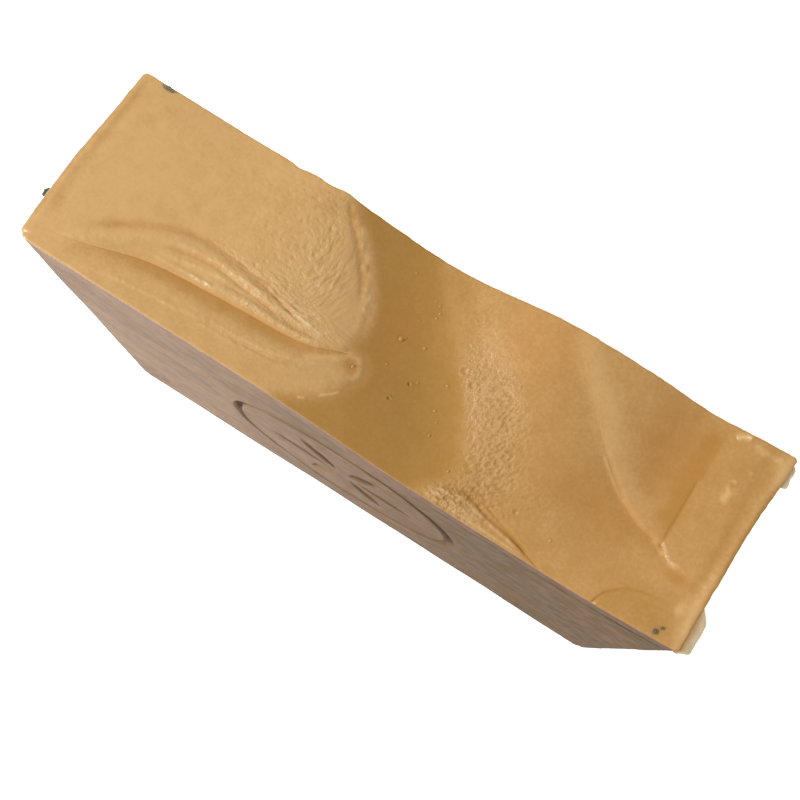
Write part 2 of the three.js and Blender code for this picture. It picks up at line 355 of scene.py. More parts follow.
RIPPLE_FOLD = [
    Stroke([(0.5, 14), (4.6, 8.6), (8.9, 3.2), (12.8, -2.4), (15, -8.4), (13, -14)], 0, 1.6, tone=-0.4),
    *[Bubble(place, radius, -0.22 * radius, tone=-0.3, glow=0.15) for place, radius in [
        ((8, 2.3), 0.42), ((9.6, 1.3), 0.4), ((21.7, -8.6), 0.34), ((19.3, -9.4), 0.3),
        ((20.9, -9.7), 0.26)]],
    Stroke([(15.3, -8.9), (17, -8.9), (18.7, -9.5)], -0.08, 0.2, tone=-0.25, glow=0.1),
    Patch((7, 8), (4.5, 3.5), -50, tone=0.35),
    Patch((14.5, 8.5), (4.5, 4), 25, tone=0.05, glow=0.3),
    Patch((29.5, -3.4), (6, 3), -14, height=-0.15, tone=-0.3, glow=0.3),
    Patch((34, -9), (4, 3), tone=-0.1),
]
HOLLOW_FOLD = [
    Stroke([(16.6, 14), (19.6, 10.9), (23, 7.6), (26, 4.8), (28.6, 2.4), (31.2, 0.2), (34, -1.3),
            (36.5, -1.4)], 0.14, 1.7, tone=0.75),
    Stroke([(26.6, 2.3), (28.8, 0.7), (30.6, -0.5), (32.6, -1.5)], 0.07, 0.22, tone=0.8),
    # The hollow gets painted glow, and a painted shadow runs along the foot of the end slab's step.
    Patch((33.4, 6.5), (4.2, 6), 12, height=-0.3, tone=-0.3, glow=0.4),
    Stroke([(36.4, 12), (36.7, 5), (36.9, -2.2)], 0, 1.1, tone=-0.95, glow=0.1),
    Stroke([(37.5, 6), (37.6, 2), (37.6, -3)], -0.08, 0.16, tone=-0.7),
]
RIGHT_END = [
    Stroke([(42.4, 14), (42.5, 8), (42.9, 2), (43, -3), (42.8, -7)], -0.08, 0.45, tone=-0.25),
    Stroke([(43.9, 14), (43.8, 8), (43.9, 2), (43.9, -4), (43.7, -9)], 0.06, 0.4, tone=0.35),
    Stroke([(44.5, 14), (44.5, 0), (44.5, -12)], 0, 0.4, tone=-0.7),
    Stroke([(38.6, 11.5), (39.4, 12.2), (40.3, 12.3)], 0.14, 0.4, tone=2.2, broken=0.3),
    Stroke([(40.8, 12.1), (41.8, 11.6), (42.8, 11.5), (43.6, 12)], 0.08, 0.4, tone=1.3, broken=0.6),
    # Painted sheen: pale spots where the end slab shines.
    Stroke([(40.6, 7.4), (40.9, 5.8), (40.7, 4)], 0.06, 0.5, tone=1.2, broken=0.9),
    Stroke([(41.6, 9), (42, 8.3), (42.4, 8.2)], 0.04, 0.3, tone=0.8, broken=0.8),
    Stroke([(36.2, -2.7), (37.6, -3.5), (39.2, -4.4), (40.8, -4.9)], 0.1, 0.4, tone=1.3, broken=0.9),
    Patch((40.5, -5.8), (1.6, 0.7), -10, tone=-0.5, glow=0.4),
    Patch((42.6, -8.6), (0.5, 0.8), height=0.05, tone=1.2),
    Patch((44.2, -10), (1.1, 3.4), tone=1.5),
    Patch((44.4, 10.6), (0.9, 2.2), tone=1.5),
]
FRONT_LIP = [
    # A groove painted dark as painted shade, with painted glow, and pale lines along the edge as painted
    # glints.
    Stroke([(15, -9.6), (17, -10.1), (19, -10.7), (22, -11.2), (24.5, -11.8), (26, -12.5)], -0.18, 0.22,
           tone=-0.7, glow=0.2),
    Stroke([(14, -10.4), (17, -10.7), (18.5, -11.1), (21, -11.5), (23.5, -11.9), (25.3, -12.4)], 0.12,
           0.2, tone=1.5, broken=0.8),
    Stroke([(10.4, -12.25), (15, -12.3), (20, -12.35), (25, -12.5)], 0.1, 0.15, tone=1.3, broken=0.5),
    Stroke([(11.5, -11.8), (14, -11.5), (18, -11.9)], 0.1, 0.2, tone=1.2, broken=0.7),
    Stroke([(12.4, -10.9), (14.5, -10.9), (16.5, -11.3)], 0.1, 0.2, tone=1.2, broken=0.7),
]
MARKS = LEFT_SLAB + FRONT_ROLL + VALLEY + RIPPLE_FOLD + HOLLOW_FOLD + RIGHT_END + FRONT_LIP

# Each fold's tone is partly the soap's own colour and partly painted sheen: pale where the slab's rough
# skin would catch the light, dark where the smooth glossy soap would reflect darker surroundings.
FOLD_TONES = {
    "left_slab": 0.85,
    "front_roll": 0.65,
    "valley_pour": -0.9,
    "ripple_fold": 0.0,
    "hollow_fold": 0.1,
    "end_slab": -0.1,
    "corner_fold": -0.5,
    "front_lip": 0.0,
}


@dataclass
class Edge:
    """How a fold leaves its level beside a crease, with strengths at even steps along the crease."""

    fold: str
    crease: str
    height: float
    tone: float
    reach: float
    strengths: list
    shape: object = slope_off

    def add_to(self, relief):
        distance, along = beside_line(smooth_line(CREASES[self.crease], 0.8), relief.x, relief.y)
        strength = np.interp(along, np.linspace(0, 1, len(self.strengths)), self.strengths)
        relief.z += self.height * strength * self.shape(distance / self.reach)
        # Painted shade and painted glow: the tone darkens and the glow rises beside the crease.
        relief.tone += self.tone * strength * slope_off(distance / self.reach)
        relief.glow -= 1.5 * self.height * strength * bell(distance / 0.6)


EDGES = [
    Edge("left_slab", "slab_front", -0.2, -0.1, 0.45, [0, 0, 0.7, 1, 1, 0.4], round_over),
    Edge("front_roll", "slab_front", -0.25, -1.3, 2.6, [0, 0.3, 0.9, 1, 1, 0.4]),
    Edge("left_slab", "slab_end", -0.06, 0, 0.9, [0.4, 1, 1, 1, 0.5, 0.1]),
    Edge("valley_pour", "slab_end", -0.06, 0, 1.4, [0.4, 1, 1, 1, 0.5, 0.1]),
    Edge("front_roll", "roll_end", -0.08, 0, 0.8, [0.4, 1, 1, 0.5, 0.2, 0]),
    Edge("valley_pour", "roll_end", -0.08, 0, 1.2, [0.4, 1, 1, 0.5, 0.2, 0]),
    Edge("hollow_fold", "hollow_edge", -0.2, 0, 0.7, [0, 0, 0, 0.4, 1, 0.8]),
    Edge("ripple_fold", "hollow_edge", -0.2, -0.4, 2, [0, 0, 0.2, 0.6, 1, 0.8]),
    Edge("end_slab", "end_slab_side", -0.06, -0.3, 0.5, [0, 0.4, 1]),
    Edge("hollow_fold", "end_slab_side", -0.06, -0.3, 1.2, [0, 0.4, 1]),
    Edge("end_slab", "end_slab_foot", -0.12, 0, 0.5, [1, 0.8, 0.3, 0.1]),
    Edge("ripple_fold", "end_slab_foot", -0.12, -0.2, 1, [1, 0.8, 0.3, 0.1]),
    Edge("corner_fold", "corner_edge", -0.14, -0.4, 0.3, [1, 0.9, 0.5, 0.1, 0]),
    Edge("ripple_fold", "corner_edge", -0.14, -0.4, 0.3, [1, 0.9, 0.5, 0.1, 0]),
    Edge("front_lip", "lip_edge", -0.12, -0.2, 0.3, [0, 0, 0.5, 1, 1, 1]),
    Edge("ripple_fold", "lip_edge", -0.12, -0.2, 0.4, [0, 0, 0.5, 1, 1, 1]),
]


# ---- Wrinkles: each adds height, crinkle, and painted highlight and shade where it is strong ----


RIPPLE_BAND = [(4, 12), (8.5, 6), (13.5, 1), (16, -3.5), (16.6, -8), (14.5, -14)]


def wrinkle(relief, strength, shape, height, pale=0.3):
    relief.z += strength * height * shape
    # Painted highlight and painted shade: the tone follows the shape, paler on its crests.
    relief.tone += pale * strength * shape
    relief.crinkle += strength


def threads(values):
    """Thin ridges along the lines where the values pass through 0."""
    return bell(values / 0.35)


def wrinkle_slab(relief, share):
    """Where the slab was dragged to a stop: pebbles, arcs round its right end, and drawn-out folds."""
    x, y = relief.x, relief.y
    swept = ease((x + 30) / 16) * ease((y + 2.6) / 2) * ease((-11 - x) / 4)
    pebbles = 0.15 - np.clip(crumple(x / 0.8, y / 0.55, 21), 0, 1)
    wrinkle(relief, 0.7 * share * swept, pebbles, height=0.15)
    radius, angle = np.hypot((x + 19) * 0.95, y - 5), np.arctan2(y - 5, x + 19)
    arcs = threads(noise(radius / 0.5 + 0.5 * noise(x / 1.5, y / 1.5, 26), angle * 3.4, 22))
    wrinkle(relief, share * blob(x, y, (-11.8, 2.2), (3.4, 6), 8), arcs, height=0.12, pale=0.5)
    fan = threads(grain(x, y, -6, 2.6, 0.55, 23))
    wrinkle(relief, share * blob(x, y, (-14, -2.8), (9.5, 2.1), -5), fan, height=0.11, pale=0.6)
    folds = crumple(x / 0.34, y / 0.24, 24)
    wrinkle(relief, share * blob(x, y, (-13, -5), (8.5, 0.7), 3), folds, height=0.07)
    relief.z += share * 0.016 * crumple(x / 2.6, y / 2.2, 25)
    relief.tone += share * 0.2 * crumple(x / 2.1, y / 1.6, 27)


def wrinkle_roll(relief, share):
    """Fine lines along the roll, and a faint unevenness."""
    x, y = relief.x, relief.y
    lines = grain(x, y, 9, 1.4, 0.24, 31)
    wrinkle(relief, 0.7 * share * blob(x, y, (-15, -9), (11, 0.9), 7), lines, height=0.06)
    relief.z += share * 0.012 * crumple(x / 2, y / 1.2, 32)


def wrinkle_ripple(relief, share):
    """The finely crinkled skin, in a band that runs down the fold from its left edge to the cut face."""
    x, y = relief.x, relief.y
    band, _ = beside_line(smooth_line(RIPPLE_BAND, 1.0), x, y)
    strength = bell(band / 3.2) * (0.3 + 0.7 * ease((6 - y) / 5))
    strength += 0.5 * blob(x, y, (13, -11.5), (3.5, 1.5)) + 0.3 * blob(x, y, (22.5, -6.5), (4, 3))
    wander = x + 0.4 * noise(x / 2.2, y / 2.2, 41)
    # Painted shade in the band, against which its threads are painted pale as painted glints.
    relief.tone -= 0.55 * share * strength
    skin = threads(grain(wander, y, 62, 1.0, 0.6, 42))
    wrinkle(relief, share * strength, skin, height=0.11, pale=0.8)
    foot = threads(grain(wander, y, -6, 2.4, 0.6, 43))
    wrinkle(relief, share * blob(x, y, (14.5, -11.3), (5, 1.1), -4), foot, height=0.1, pale=0.9)
    relief.crinkle += 0.2 * share
    relief.z += share * 0.01 * crumple(x / 2.2, y / 2.2, 44)


def wrinkle_end(relief, share):
    """Faint scuffs on the folds at the right end."""
    scuffs = grain(relief.x, relief.y, 60, 1.3, 0.6, 61)
    wrinkle(relief, 0.3 * share, scuffs, height=0.05)


WRINKLES = {
    "left_slab": wrinkle_slab,
    "front_roll": wrinkle_roll,
    "ripple_fold": wrinkle_ripple,
    "front_lip": wrinkle_ripple,
    "end_slab": wrinkle_end,
    "corner_fold": wrinkle_end,
}


# ---- Outlines ----


def unbroken(points):
    """A loop of points without repeats, anticlockwise."""
    points = np.array(points)
    gap = np.hypot(*(points - np.roll(points, 1, 0)).T)
    points = points[gap > 1e-4]
    x, y = points.T
    area = (x * np.roll(y, -1) - y * np.roll(x, -1)).sum()
    return points if area > 0 else points[::-1]


def straight(a, b, step):
    """Points from a up to, but not at, b."""
    count = max(1, math.ceil(math.dist(a, b) / step))
    return [np.add(a, np.subtract(b, a) * k / count) for k in range(count)]


def fold_outline(name, step):
    """A fold's outline in even steps: its creases, and straight runs along the bar's faces between."""
    runs = []
    for part in OUTLINES[name]:
        if isinstance(part, str):
            line = smooth_line(CREASES[part.lstrip("-")], step)
            runs.append(line[::-1] if part.startswith("-") else line)
        else:
            runs.append(np.array([part]))
    points = []
    for run, following in zip(runs, runs[1:] + runs[:1]):
        points.extend(run)
        points.extend(straight(run[-1], following[0], step))
    return unbroken(points)


def inside(loop, x, y):
    """Which of the points lie inside a loop."""
    crossings = np.zeros(x.size, int)
    for (ax, ay), (bx, by) in zip(loop, np.roll(loop, -1, 0)):
        if ay != by:
            spans = (ay > y) != (by > y)
            crossings += spans & (x < ax + (y - ay) * (bx - ax) / (by - ay))
    return crossings % 2 == 1


# ---- Broad fields over the top ----


FIELD_MARGIN = 4
LEVEL_PITCH, LEVEL_BLUR = 1.5, 2.1
SHARE_PITCH, SHARE_BLUR = 0.4, 1.1
TOP_SLOPE = 0.7  # a facet with more Z than this in its normal belongs to a fold's top


class Field:
    """Values on an even grid that reaches past the bar's sides, read back smoothly between its points."""

    def __init__(self, pitch):
        self.pitch = pitch
        self.centre = [math.ceil((half + FIELD_MARGIN) / pitch) for half in (END, SIDE)]
        steps = np.meshgrid(*[np.arange(-count, count + 1) for count in self.centre], indexing="ij")
        self.x, self.y = (step * pitch for step in steps)
        self.values = np.zeros(self.x.shape)

    def blur(self, reach):
        """Smooths the values with a bell of that reach; past the sides they carry on unchanged."""
        half = math.ceil(2.5 * reach / self.pitch)
        weights = bell(np.arange(-half, half + 1) * self.pitch / reach)
        weights /= weights.sum()
        for axis in (0, 1):
            pad = [(half, half) if k == axis else (0, 0) for k in (0, 1)]
            padded = np.pad(self.values, pad, mode="edge")
            self.values = np.apply_along_axis(np.convolve, axis, padded, weights, "valid")

    def __call__(self, x, y):
        places = [np.divide(a, self.pitch) + c for a, c in zip((x, y), self.centre)]
        cells = [np.floor(place).astype(int) for place in places]
        weights = [self.cubic(place - cell) for place, cell in zip(places, cells)]
        total = 0
        for a, b in np.ndindex(4, 4):
            column = np.clip(cells[0] + a - 1, 0, self.values.shape[0] - 1)
            row = np.clip(cells[1] + b - 1, 0, self.values.shape[1] - 1)
            total = total + weights[0][a] * weights[1][b] * self.values[column, row]
        return total

    @staticmethod
    def cubic(f):
        """Weights of the four grid points round a place that is f of the way between the middle two."""
        return (
            (-f + 2 * f**2 - f**3) / 2,
            (2 - 5 * f**2 + 3 * f**3) / 2,
            (f + 4 * f**2 - 3 * f**3) / 2,
            (f**3 - f**2) / 2,
        )


def level_of(nodes):
    """The height of the CAD folds' tops as one field without their facets and joints."""
    tops = [
        (*face.center / MM, face.area)
        for node in nodes
        for face in node.data.polygons
        if face.normal.z > TOP_SLOPE
    ]
    x, y, z, area = np.array(tops).T
    field = Field(LEVEL_PITCH)
    for cell in np.ndindex(field.values.shape):
        dx, dy = x - field.x[cell], y - field.y[cell]
        terms = np.stack([np.ones_like(dx), dx, dy])
        weighted = terms * area * np.exp(-(dx**2 + dy**2) / (2 * LEVEL_BLUR**2))
        plane = np.linalg.lstsq(weighted @ terms.T, weighted @ z, rcond=None)[0]
        field.values[cell] = plane[0]
    return field


def share_of(name):
    """1 over a fold and 0 off it, with a soft change between; it carries on past the bar's sides."""
    field = Field(SHARE_PITCH)
    x, y = (np.clip(a, 0.1 - half, half - 0.1) for a, half in ((field.x, END), (field.y, SIDE)))
    covered = inside(fold_outline(name, 0.5), x.ravel(), y.ravel())
    field.values = covered.reshape(field.x.shape).astype(float)
    field.blur(SHARE_BLUR)
    return field


soft_top = level_of([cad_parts[name] for name in OUTLINES])
SHARES = {name: share_of(name) for name in OUTLINES}

# How far the top drops where it rounds over, and over what width.
LEFT_RIM = (0.5, 1.2)
RIGHT_RIM = (0.25, 0.6)
CUT_RIM = (0.14, 0.28)


def rim(x, y):
    """How far the top drops where it rounds over to the bar's own faces."""
    wear = 1 + 0.5 * noise(x / 3, y / 3, 71)
    rims = ((x + END, LEFT_RIM), (END - x, RIGHT_RIM), (SIDE - np.abs(y), CUT_RIM))
    return sum(drop * round_over(gap / (width * wear)) for gap, (drop, width) in rims)


def fold_surface(name, x, y):
    """A fold's relief at these points, with its height above the bar's foot in z."""
    relief = Relief(x, y)
    for mark in MARKS:
        mark.add_to(relief)
    for fold, share in SHARES.items():
        weight = share(x, y)
        relief.tone += FOLD_TONES[fold] * weight
        if fold in WRINKLES:
            WRINKLES[fold](relief, weight)
    for edge in EDGES:
        if edge.fold == name:
            edge.add_to(relief)
    relief.z += soft_top(x, y) - rim(x, y)
    return relief


# ---- Triangles ----


KEEP_INSIDE = 1  # the triangulation keeps only what lies inside the outline
MERGE_GAP = 1e-7
ROUGH_COUNT = 400  # an outline of about so many points is enough to tell a grid's inside


def inward(loop):
    """The unit normal into the shape at each point of an anticlockwise loop."""
    run = np.roll(loop, -1, 0) - np.roll(loop, 1, 0)
    return np.stack([-run[:, 1], run[:, 0]], 1) / np.hypot(*run.T)[:, None]


def clear_of(others, points, gap):
    """The points that keep at least a gap from all the others."""
    tree = KDTree(len(others))
    for i, point in enumerate(others):
        tree.insert((*point, 0), i)
    tree.balance()
    return points[[tree.find((*point, 0))[2] >= gap for point in points]]


def triangular_grid(low, high, step):
    """Points over a box in even triangles, with every second row moved by half a step."""
    xs = np.arange(low[0], high[0], step)
    ys = np.arange(low[1], high[1], step * math.sqrt(0.75))
    return np.array([(x + step / 2 * (k % 2), y) for k, y in enumerate(ys) for x in xs])


def triangulate(loop, points):
    """Anticlockwise triangles over points, of which the first are the loop round them."""
    outline = [list(range(len(loop)))]
    found = delaunay_2d_cdt([Vector(p) for p in points], [], outline, KEEP_INSIDE, MERGE_GAP)
    source = np.array([origins[0] for origins in found[3]])
    faces = source[np.array(found[2])]
    a, b, c = (points[faces[:, k]] for k in range(3))
    flipped = (b[:, 0] - a[:, 0]) * (c[:, 1] - a[:, 1]) < (b[:, 1] - a[:, 1]) * (c[:, 0] - a[:, 0])
    faces[flipped] = faces[flipped][:, ::-1]
    return faces


def fill(loop, step, rows=()):
    """Points on and inside a loop, its own first and then rows beside it, with their triangles."""
    points = [loop]
    for offset in rows:
        points.append(clear_of(loop, loop + inward(loop) * offset, offset * 0.9))
    grid = triangular_grid(loop.min(0), loop.max(0), step)
    rough_loop = loop[:: max(1, len(loop) // ROUGH_COUNT)]
    grid = grid[inside(rough_loop, *grid.T)]
    points.append(clear_of(loop, grid, max(rows, default=0) + step * 0.6))
    points = np.vstack(points)
    return points, triangulate(loop, points)


def grid_faces(rows, columns):
    """Quads over a grid of points, anticlockwise with its rows along the first of the two axes."""
    corner = np.arange(rows * columns).reshape(rows, columns)
    quads = [corner[:-1, :-1], corner[1:, :-1], corner[1:, 1:], corner[:-1, 1:]]
    return np.stack(quads, -1).reshape(-1, 4)


# ---- From millimetres to pieces ----


END_ZONE, SIDE_ZONE = 4, 3
SHARP_ANGLE = 55


def edge_radius(points):
    """The radius of the bar's worn edges: small, but larger at the front left corner and the foot."""
    x, y, z = points.T
    corner = 1.2 * bell(np.hypot(x + END, y + SIDE) / 3)
    foot = (1.7 - 0.9 * ease((x - 15) / 25)) * ease((6 - z) / 5)
    return 0.45 + np.maximum(corner, foot)


def weather(points):
    """Points of the squared-up bar moved to the hand-cut bar's: edges rounded, faces a little wavy."""
    x, y, z = points.T
    radius = edge_radius(points)
    core = np.stack([
        np.clip(x, radius - END, END - radius),
        np.clip(y, radius - SIDE, SIDE - radius),
        np.maximum(z, radius),
    ], 1)
    out = points - core
    length = np.maximum(np.linalg.norm(out, axis=1), 1e-9)
    moved = core + out * (np.abs(out).max(1) / length)[:, None]
    left, right = (ease((side * x - END + END_ZONE) / END_ZONE) for side in (-1, 1))
    front, back = (ease((side * y - SIDE + SIDE_ZONE) / SIDE_ZONE) for side in (-1, 1))
    swell = 1.35 - 0.75 * ease((y + 2) / 15) + 0.1 * noise(y / 9, z / 12, 81)
    flare = 0.7 * ease(y / SIDE) + 0.3 + 0.1 * noise(y / 9, z / 12, 83)
    nicks = 0.25 * bell((x + 22) / 1.1) + 0.15 * bell((x + 17.6) / 1) - 0.2 * bell((x + 15.2) / 1.2)
    moved[:, 0] -= left * (swell + 0.06 * crumple(y / 1.6, z / 2.5, 82))
    moved[:, 0] += right * (flare + 0.06 * crumple(y / 1.6, z / 2.5, 84))
    moved[:, 1] -= front * (0.1 * noise(x / 14, z / 14, 85) + 0.02 * crumple(x / 1.5, z / 2.5, 86))
    moved[:, 1] += back * (0.1 * noise(x / 14, z / 14, 87) + 0.05 * crumple(x / 1.5, z / 2.5, 88))
    moved[:, 1] -= back * nicks * ease((z - 57) / 4)
    return moved


def below_top(points):
    """How far each point is below the level of the spooned top."""
    return soft_top(points[:, 0], points[:, 1]) - points[:, 2]


def new_mesh(name, points, faces, slots=0, **attributes):
    """A smooth mesh in metres from points in millimetres, with its faces' slots and points' values."""
    mesh = bpy.data.meshes.new(name)
    mesh.from_pydata(points * MM, [], [tuple(face) for face in faces])
    mesh.polygons.foreach_set("material_index", np.resize(slots, len(mesh.polygons)).astype(np.int32))
    for label, values in attributes.items():
        attribute = mesh.attributes.new(label, "FLOAT", "POINT")
        attribute.data.foreach_set("value", values.astype(np.float32))
    mesh.shade_smooth()
    mesh.set_sharp_from_angle(angle=math.radians(SHARP_ANGLE))
    return mesh


def add_piece(node, mesh, slot, *materials):
    """Adds the finished piece that stands for a CAD node."""
    piece = bpy.data.objects.new(node + "_soap", mesh)
    bpy.context.scene.collection.objects.link(piece)
    for material in materials:
        mesh.materials.append(material)
    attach(piece, BODY)
    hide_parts(node)


# ---- The spooned folds ----

SKIN, CUT = 0, 1


def seam_height(x, y):
    return soft_top(x, y) - POUR_DEPTH


def seam_opening(x):
    """How far the seam under the spooned layer stands open along the cut faces."""
    gaps = ((0.16, 15.5, 3), (0.2, 31.5, 2.2), (0.22, 39.5, 3.5))
    return 0.03 + sum(width * bell((x - place) / reach) for width, place, reach in gaps)


def seam_inset(loop, on_side):
    """How far a fold's foot stands back along the bar's sides, with none where a crease comes out."""
    crease_gap = np.hypot(*(loop[:, None] - loop[~on_side]).transpose(2, 0, 1)).min(1)
    return seam_opening(loop[:, 0]) * ease(crease_gap / 1.5)


def wall_faces(count, start):
    """Quads down a fold's walls: from its outline, to rows that follow from a start, to its base."""
    uppers = [0, *(start + count * np.arange(WALL_ROWS - 1))]
    this, following = np.arange(count), np.roll(np.arange(count), -1)
    bands = []
    for upper, lower in zip(uppers, start + count * np.arange(WALL_ROWS)):
        bands.append(np.stack([upper + following, upper + this, lower + this, lower + following], 1))
    return np.vstack(bands)


def fold_mesh(name):
    """A fold as a closed body: its wrinkled top, walls in rows down from its outline, a plain base."""
    loop = fold_outline(name, FINE)
    count = len(loop)
    top, top_faces = fill(loop, FINE, EDGE_ROWS)
    # The outline's heights are taken just inside it, on this fold's side of each crease.
    sampled = top.copy()
    sampled[:count] += inward(loop) * 0.01
    relief = fold_surface(name, *sampled.T)
    on_side = (np.abs(loop) > np.array([END, SIDE]) - 1e-6).any(1)
    base, base_faces = fill(loop, COARSE)
    base_z = seam_height(*base.T)
    base[:count] += inward(loop) * seam_inset(loop, on_side)[:, None]
    walls = []
    for share in np.arange(1, WALL_ROWS) / WALL_ROWS:
        walls.append(np.column_stack([loop, relief.z[:count] * (1 - share) + base_z[:count] * share]))
    points = np.vstack([np.column_stack([top, relief.z]), *walls, np.column_stack([base, base_z])])
    base_start = len(points) - len(base)
    faces = [*top_faces, *wall_faces(count, len(top)), *(base_faces[:, ::-1] + base_start)]
    wall_slots = np.tile(np.where(on_side & np.roll(on_side, -1), CUT, SKIN), WALL_ROWS)
    slots = [np.full(len(top_faces), SKIN), wall_slots, np.full(len(base_faces), CUT)]
    values = {"under": below_top(points)}
    for label in ("tone", "glow", "crinkle"):
        on_top = getattr(relief, label)
        down = np.tile(on_top[:count], WALL_ROWS)
        values[label] = np.concatenate([on_top, down, np.zeros(len(base) - count)])
    return new_mesh(name, weather(points), faces, np.concatenate(slots), **values)


# ---- The poured block with its stamp ----

STAMP = np.array([-1, 31.5])
STAMP_RADIUS = 18
STAMP_LINE = 1.1
STAMP_DEPTH = 0.9
PETALS = 6
PETAL_START, PETAL_END = 2, 12.5
PETAL_DEPTH = 0.45
BLOCK_STEP = 0.75
SHARE_STEPS = 76  # from the block's foot to its top
STAMP_STEP = 0.2
STAMP_FIELD = 20  # half the width of the finer mesh round the stamp
LIP_ROWS = (0.18, 0.4)  # how far inside the stamped face's outline two extra rows lie


def petal_inset(x, z):
    """How far inside the nearest petal each point is; its two equal arcs meet at 60 degrees."""
    spacing = 2 * math.pi / PETALS
    angle = (np.arctan2(z, x) - spacing / 2) % spacing - spacing / 2
    radius = np.hypot(x, z)
    half = (PETAL_END - PETAL_START) / 2
    arc = half / math.sin(math.pi / 6)
    return arc - np.hypot(radius * np.cos(angle) - PETAL_START - half,
                          np.abs(radius * np.sin(angle)) + arc * math.cos(math.pi / 6))


def pressed(x, z):
    """How much the stamp is pressed in at points of the cut face, and how deep; below 0 is pushed up."""
    x, z = x - STAMP[0], z - STAMP[1]
    radius, angle = np.hypot(x, z), np.arctan2(z, x)
    off = np.abs(radius - STAMP_RADIUS + 0.12 * noise(angle * 3 + 20, radius / 9, 91))
    ring = ease((STAMP_LINE / 2 - off) / 0.4 + 0.5)
    petals = ease(petal_inset(x, z) / 0.45)
    firm = 0.7 + 0.3 * np.sin(angle) + 0.2 * noise(angle * 4 + 20, radius / 9, 92)
    soft = 0.9 + 0.3 * noise(x / 4, z / 4, 93)
    depth = STAMP_DEPTH * firm * ring + PETAL_DEPTH * soft * petals - 0.06 * bell((off - 1.05) / 0.35)
    return np.maximum(ring, petals), depth


def stain(x, z, mark):
    """How brown the pressed marks are: most at the ring's left and right, least along its foot."""
    # The brown is partly a stain and partly painted shade in the pressed recess.
    angle = np.arctan2(z - STAMP[1], x - STAMP[0])
    upper = ease((np.sin(angle) + 0.5) / 0.7)
    return mark * upper * (0.5 + 0.6 * np.cos(angle) ** 2 + 0.5 * noise(x / 2.5, z / 2.5, 95))


def side_points(us, shares, place):
    """A grid of points on one of the block's sides; place turns u into X and Y."""
    u, share = (a.ravel() for a in np.meshgrid(us, shares, indexing="ij"))
    x, y = place(u)
    return np.column_stack([x, y, share * seam_height(x, y)])


def cut_face(xs, shares):
    """The stamped side as points in X and Z with triangles, with finer ones where the stamp is."""
    def line_at(x, share):
        x, share = np.broadcast_arrays(x, share)
        return np.column_stack([x, share * seam_height(x, np.full(x.shape, -SIDE))])

    loop = np.vstack([
        line_at(xs, 0.0)[:-1],
        line_at(END, shares)[:-1],
        line_at(xs[::-1], 1.0)[:-1],
        line_at(-END, shares[::-1])[:-1],
    ])
    fine = triangular_grid(STAMP - STAMP_FIELD, STAMP + STAMP_FIELD, STAMP_STEP)
    x, z = (fine - STAMP).T
    fine = fine[(np.abs(np.hypot(x, z) - STAMP_RADIUS) < 1.7) | (petal_inset(x, z) > -0.5)]
    lips = np.vstack([loop + inward(loop) * offset for offset in LIP_ROWS])
    lips = clear_of(loop, lips, 0.17)
    coarse = triangular_grid(loop.min(0), loop.max(0), BLOCK_STEP)
    coarse = coarse[inside(loop, *coarse.T)]
    coarse = clear_of(np.vstack([loop, lips, fine]), coarse, 0.4)
    points = np.vstack([loop, lips, fine, coarse])
    return points, triangulate(loop, points)


def block_mesh():
    """The block as six sides that share their edges: the stamped one, and five plain grids."""
    xs = np.linspace(-END, END, round(2 * END / BLOCK_STEP))
    ys = np.linspace(-SIDE, SIDE, round(2 * SIDE / BLOCK_STEP))
    shares = np.linspace(0, 1, SHARE_STEPS)
    front, front_faces = cut_face(xs, shares)
    mark, depth = pressed(*front.T)
    x, y = (a.ravel() for a in np.meshgrid(xs, ys, indexing="ij"))
    long_side, end_side = grid_faces(len(xs), len(shares)), grid_faces(len(ys), len(shares))
    flat = grid_faces(len(xs), len(ys))
    sides = [
        (np.column_stack([front[:, 0], np.full(len(front), -SIDE), front[:, 1]]), front_faces),
        (side_points(xs, shares, lambda u: (u, u * 0 + SIDE)), long_side[:, ::-1]),
        (side_points(ys, shares, lambda u: (u * 0 - END, u)), end_side[:, ::-1]),
        (side_points(ys, shares, lambda u: (u * 0 + END, u)), end_side),
        (np.column_stack([x, y, seam_height(x, y)]), flat),
        (np.column_stack([x, y, x * 0]), flat[:, ::-1]),
    ]
    points, faces, total = [], [], 0
    for side_xyz, side_faces in sides:
        points.append(side_xyz)
        faces.extend(side_faces + total)
        total += len(side_xyz)
    points = np.vstack(points)
    stained, sunk = np.zeros(total), np.zeros(total)
    stained[: len(front)], sunk[: len(front)] = stain(*front.T, mark), depth

    _, first, merged = np.unique(np.round(points, 4), axis=0, return_index=True, return_inverse=True)
    points, stained, sunk = points[first], stained[first], sunk[first]
    faces = [merged[face] for face in faces]
    under = below_top(points)
    moved = weather(points)
    moved[:, 1] += sunk
    # The top lies a hair under the folds, and its edges stand back where the seam is open.
    lip = slope_off((under - POUR_DEPTH) / 0.35)
    outward = np.sign(points[:, 1]) * (np.abs(points[:, 1]) > SIDE - 0.1)
    moved[:, 1] -= outward * lip * seam_opening(points[:, 0])
    moved[:, 2] -= 0.02 * lip
    return new_mesh("bar_body", moved, faces, stained=stained, under=under)


# ---- Flash and flecks ----


FLASH_GRID = (90, 14)  # points along a lip and out from the bar
ROOT_DEPTH = 0.5  # how far a lip starts inside the bar's end
CRUMB_DETAIL = 5


